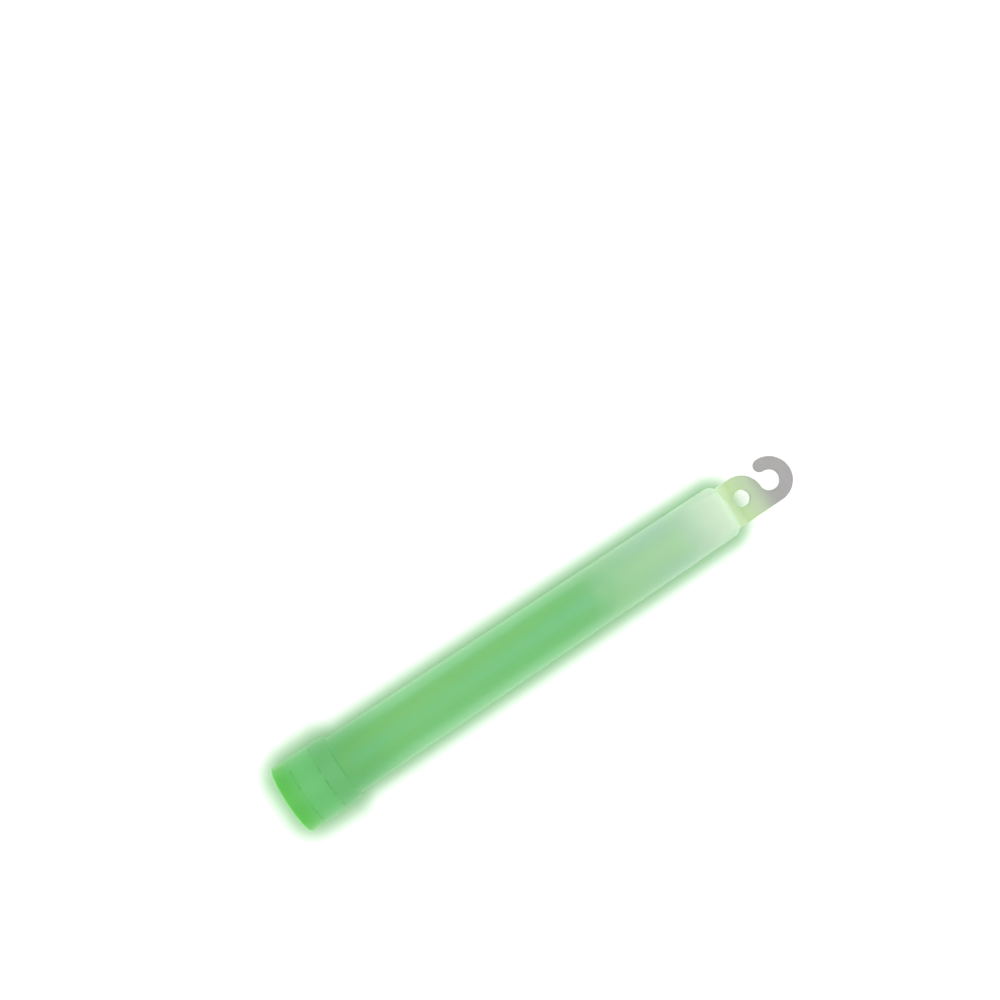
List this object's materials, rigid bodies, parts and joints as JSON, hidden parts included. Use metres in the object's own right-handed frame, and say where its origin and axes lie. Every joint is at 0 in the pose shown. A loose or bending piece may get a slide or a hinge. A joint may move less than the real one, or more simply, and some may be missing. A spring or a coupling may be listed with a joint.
{
  "type": "chemical light stick",
  "caption": "Slim snap-to-light chemical light stick: translucent tube with a thick plugged mouth, a flat hanging hook with an eye, and a glass ampoule loose in glowing liquid.",
  "frame": {"origin": "centre of the plugged end face, on the tube's axis", "axes": "+X along the tube towards the hook, +Y the way the hook opens, +Z square to the flat of the hook; the stick lies on its side"},
  "size_m": [0.1501, 0.0188, 0.0188],
  "materials": {
    "milky_plastic": "milky translucent moulded polyethylene, satin, greyish in the hook and green-lit over the tube",
    "plug_plastic": "translucent moulded polyethylene, lit deep green from inside",
    "ampoule_glass": "thin clear drawn glass",
    "activator_liquid": "clear liquid",
    "glowing_dye": "clear green liquid that gives off its own light"
  },
  "bodies": {
    "stick": {"tube_body": "milky_plastic", "end_plug": "plug_plastic", "dye_liquid": "glowing_dye"},
    "ampoule": {"glass_ampoule": "ampoule_glass", "activator_liquid": "activator_liquid"}
  },
  "joints": [
    {"name": "ampoule_slide", "type": "slide", "parent": "stick", "child": "ampoule", "axis": [1, 0, 0], "range_m": [-0.0103, 0.0304]}
  ]
}
